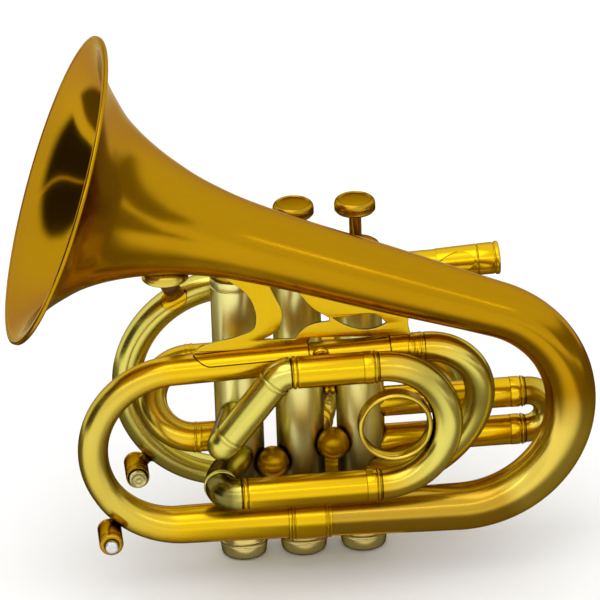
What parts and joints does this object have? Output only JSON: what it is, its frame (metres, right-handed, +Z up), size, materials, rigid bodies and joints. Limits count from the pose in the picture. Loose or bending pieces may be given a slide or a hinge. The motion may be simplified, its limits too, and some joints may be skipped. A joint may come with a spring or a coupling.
{
  "type": "pocket trumpet",
  "caption": "Compact coiled brass trumpet with piston valves, a flared bell, pulling tuning slides, a finger ring and push-button water keys.",
  "frame": {"origin": "middle of the flat foot of the second valve's bottom cap", "axes": "+X towards the player along the leadpipe, +Y away from the bell side, +Z up along the valves towards the finger buttons"},
  "size_m": [0.2284, 0.1363, 0.2326],
  "materials": {
    "bell_brass": "dark antique brass, satin lacquer",
    "tube_brass": "orange-gold lacquered brass",
    "bow_brass": "greenish yellow brass, satin",
    "casing_brass": "pale yellow brass, satin",
    "cap_brass": "dark antique brass, knurled bands",
    "piston_metal": "smooth plated piston",
    "spring_steel": "bright spring wire",
    "nickel": "bright nickel plate",
    "felt": "dark felt"
  },
  "bodies": {
    "instrument": {"bell": "bell_brass", "bell_tail": "tube_brass", "bell_ferrule": "tube_brass", "tail_bow": "bow_brass", "bell_brace": "tube_brass", "bell_stay": "tube_brass", "mouthpiece_receiver": "tube_brass", "leadpipe": "tube_brass", "front_bow": "bow_brass", "tuning_sleeve_lower": "tube_brass", "tuning_sleeve_upper": "tube_brass", "inlet_bow": "tube_brass", "first_sleeve_upper": "tube_brass", "first_sleeve_lower": "tube_brass", "second_sleeve_upper": "tube_brass", "second_sleeve_lower": "tube_brass", "third_sleeve_upper": "tube_brass", "third_sleeve_lower": "tube_brass", "third_branch_upper": "bow_brass", "third_branch_lower": "bow_brass", "third_slide_stay": "tube_brass", "knuckle_1_2": "bell_brass", "knuckle_2_3": "bell_brass", "casing_spacer_1_2": "tube_brass", "casing_spacer_2_3": "tube_brass", "valve_1_casing": "casing_brass", "valve_1_top_cap": "cap_brass", "valve_1_bottom_cap": "cap_brass", "valve_1_spring": "spring_steel", "valve_2_casing": "casing_brass", "valve_2_top_cap": "cap_brass", "valve_2_bottom_cap": "cap_brass", "valve_2_spring": "spring_steel", "valve_3_casing": "casing_brass", "valve_3_top_cap": "cap_brass", "valve_3_bottom_cap": "cap_brass", "valve_3_spring": "spring_steel", "front_water_key_body": "cap_brass", "bell_water_key_body": "cap_brass"},
    "valve_1_action": {"valve_1_piston": "piston_metal", "valve_1_felt": "felt", "valve_1_stem": "cap_brass", "valve_1_button": "cap_brass"},
    "valve_2_action": {"valve_2_piston": "piston_metal", "valve_2_felt": "felt", "valve_2_stem": "cap_brass", "valve_2_button": "cap_brass"},
    "valve_3_action": {"valve_3_piston": "piston_metal", "valve_3_felt": "felt", "valve_3_stem": "cap_brass", "valve_3_button": "cap_brass"},
    "main_tuning_slide": {"main_tuning_slide": "bow_brass"},
    "first_slide": {"first_slide": "bow_brass"},
    "second_slide": {"second_slide": "bow_brass"},
    "third_slide": {"third_slide": "bow_brass", "third_slide_ring": "tube_brass"},
    "front_water_key_push": {"front_water_key_button": "cap_brass", "front_water_key_spring": "spring_steel"},
    "bell_water_key_push": {"bell_water_key_button": "nickel", "bell_water_key_spring": "spring_steel"}
  },
  "joints": [
    {"name": "valve_1_press", "type": "slide", "parent": "instrument", "child": "valve_1_action", "axis": [0, 0, 1], "range_m": [-0.013, 0], "stiffness_N_per_m": 200, "springref_m": 0.015, "deforming": ["valve_1_spring"]},
    {"name": "valve_2_press", "type": "slide", "parent": "instrument", "child": "valve_2_action", "axis": [0, 0, 1], "range_m": [-0.013, 0], "stiffness_N_per_m": 200, "springref_m": 0.015, "deforming": ["valve_2_spring"]},
    {"name": "valve_3_press", "type": "slide", "parent": "instrument", "child": "valve_3_action", "axis": [0, 0, 1], "range_m": [-0.013, 0], "stiffness_N_per_m": 200, "springref_m": 0.015, "deforming": ["valve_3_spring"]},
    {"name": "main_tuning_pull", "type": "slide", "parent": "instrument", "child": "main_tuning_slide", "axis": [1, 0, 0], "range_m": [0, 0.02]},
    {"name": "first_slide_pull", "type": "slide", "parent": "instrument", "child": "first_slide", "axis": [1, 0, 0], "range_m": [0, 0.02]},
    {"name": "second_slide_pull", "type": "slide", "parent": "instrument", "child": "second_slide", "axis": [0.342, 0.9397, 0], "range_m": [0, 0.012]},
    {"name": "third_slide_pull", "type": "slide", "parent": "instrument", "child": "third_slide", "axis": [1, 0, 0], "range_m": [0, 0.022]},
    {"name": "front_water_key_press", "type": "slide", "parent": "instrument", "child": "front_water_key_push", "axis": [0, 1, 0], "range_m": [0, 0.002], "stiffness_N_per_m": 500, "springref_m": -0.002},
    {"name": "bell_water_key_press", "type": "slide", "parent": "instrument", "child": "bell_water_key_push", "axis": [0, 1, 0], "range_m": [0, 0.002], "stiffness_N_per_m": 500, "springref_m": -0.002}
  ]
}
